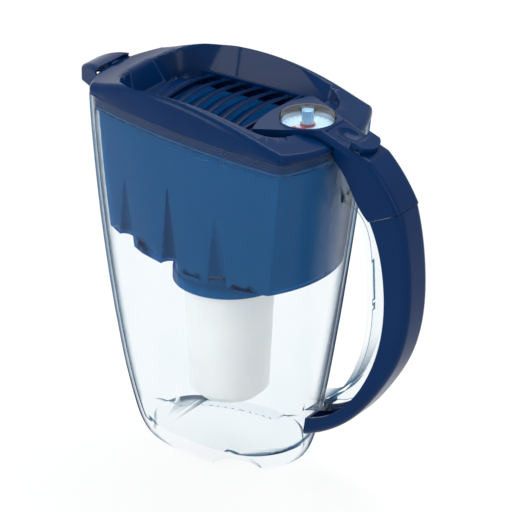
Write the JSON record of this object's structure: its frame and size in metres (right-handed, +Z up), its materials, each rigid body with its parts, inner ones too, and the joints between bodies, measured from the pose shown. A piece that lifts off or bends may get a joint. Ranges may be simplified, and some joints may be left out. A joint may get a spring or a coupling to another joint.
{
  "type": "water filter jug",
  "caption": "Clear countertop water filter jug with a dark blue lid, louvred fill shutter, pour flap, change counter, inner funnel and filter cartridge.",
  "frame": {"origin": "on the standing surface, on the upright axis of the filter cartridge and funnel socket, under the middle of the foot", "axes": "+Z up, +X towards the handle, -X towards the spout, +Y towards the far side as seen in the picture"},
  "size_m": [0.2829, 0.1188, 0.2818],
  "materials": {
    "clear_jug": "clear moulded plastic, polished",
    "navy": "dark blue moulded plastic, glossy",
    "navy_satin": "dark blue moulded plastic, satin",
    "blue_funnel": "translucent blue moulded plastic",
    "seal": "soft seal, matt",
    "white_cup": "white moulded plastic, satin",
    "screen": "white felt-like mesh",
    "granules": "packed granules",
    "steel": "plain stainless steel",
    "grey_cup": "pale grey moulded plastic",
    "pale_dial": "pale blue-white card-like plastic",
    "clear_cover": "clear moulded plastic, polished",
    "pale_blue": "pale blue moulded plastic",
    "red": "red moulded plastic"
  },
  "bodies": {
    "jug": {"jug_body": "clear_jug", "handle_grip": "navy"},
    "funnel": {"funnel": "blue_funnel", "seal_ring": "seal"},
    "cartridge": {"cartridge_body": "white_cup", "cartridge_cap": "white_cup", "lower_screen": "screen", "filter_media": "granules", "upper_screen": "screen"},
    "lid": {"lid_shell": "navy", "lid_arm": "navy", "arm_screws": "steel", "louvre_frame": "navy", "counter_cup": "grey_cup", "counter_dial": "pale_dial", "flap_pin": "steel", "slider_spring": "steel"},
    "slider": {"thumb_slider": "navy"},
    "link": {"link_bar": "navy_satin"},
    "counter_knob": {"counter_cover": "clear_cover", "counter_spindle": "pale_blue", "counter_sector": "red"},
    "flap": {"pour_flap": "navy"},
    "blade_1": {"louvre_blade_1": "navy"},
    "blade_2": {"louvre_blade_2": "navy"},
    "blade_3": {"louvre_blade_3": "navy"},
    "blade_4": {"louvre_blade_4": "navy"},
    "blade_5": {"louvre_blade_5": "navy"},
    "blade_6": {"louvre_blade_6": "navy"}
  },
  "joints": [
    {"name": "lid_lift", "type": "slide", "parent": "jug", "child": "lid", "axis": [0, 0, 1], "range_m": [0, 0.3]},
    {"name": "funnel_lift", "type": "slide", "parent": "jug", "child": "funnel", "axis": [0, 0, 1], "range_m": [0, 0.145]},
    {"name": "cartridge_lift", "type": "slide", "parent": "funnel", "child": "cartridge", "axis": [0, 0, 1], "range_m": [0, 0.1]},
    {"name": "flap_hinge", "type": "hinge", "parent": "lid", "child": "flap", "pos_m": [-0.1006, 0, 0.2684], "axis": [0, 1, 0], "range_deg": [0, 60]},
    {"name": "counter_turn", "type": "hinge", "parent": "lid", "child": "counter_knob", "pos_m": [0.066, 0, 0.267], "axis": [0, 0, 1], "continuous": true},
    {"name": "thumb_slide", "type": "slide", "parent": "lid", "child": "slider", "axis": [0.9397, 0, -0.342], "range_m": [0, 0.0045], "stiffness_N_per_m": 400, "springref_m": -0.002, "deforming": ["slider_spring"]},
    {"name": "link_slide", "type": "slide", "parent": "lid", "child": "link", "axis": [1, 0, 0], "range_m": [0, 0.00423]},
    {"name": "blade_1_tilt", "type": "hinge", "parent": "lid", "child": "blade_1", "pos_m": [-0.043, 0, 0.2615], "axis": [0, -1, 0], "range_deg": [0, 50.05]},
    {"name": "blade_2_tilt", "type": "hinge", "parent": "lid", "child": "blade_2", "pos_m": [-0.0295, 0, 0.2615], "axis": [0, -1, 0], "range_deg": [0, 50.05]},
    {"name": "blade_3_tilt", "type": "hinge", "parent": "lid", "child": "blade_3", "pos_m": [-0.016, 0, 0.2615], "axis": [0, -1, 0], "range_deg": [0, 50.05]},
    {"name": "blade_4_tilt", "type": "hinge", "parent": "lid", "child": "blade_4", "pos_m": [-0.0025, 0, 0.2615], "axis": [0, -1, 0], "range_deg": [0, 50.05]},
    {"name": "blade_5_tilt", "type": "hinge", "parent": "lid", "child": "blade_5", "pos_m": [0.011, 0, 0.2615], "axis": [0, -1, 0], "range_deg": [0, 50.05]},
    {"name": "blade_6_tilt", "type": "hinge", "parent": "lid", "child": "blade_6", "pos_m": [0.0245, 0, 0.2615], "axis": [0, -1, 0], "range_deg": [0, 50.05]}
  ],
  "couplings": [
    {"joint": "funnel_lift", "follows": "lid_lift", "ratio": 0.48},
    {"joint": "cartridge_lift", "follows": "lid_lift", "ratio": 0.33},
    {"joint": "link_slide", "follows": "thumb_slide", "ratio": 0.93969},
    {"joint": "blade_1_tilt", "follows": "thumb_slide", "rad_per_m": 194.04},
    {"joint": "blade_2_tilt", "follows": "thumb_slide", "rad_per_m": 194.04},
    {"joint": "blade_3_tilt", "follows": "thumb_slide", "rad_per_m": 194.04},
    {"joint": "blade_4_tilt", "follows": "thumb_slide", "rad_per_m": 194.04},
    {"joint": "blade_5_tilt", "follows": "thumb_slide", "rad_per_m": 194.04},
    {"joint": "blade_6_tilt", "follows": "thumb_slide", "rad_per_m": 194.04}
  ]
}
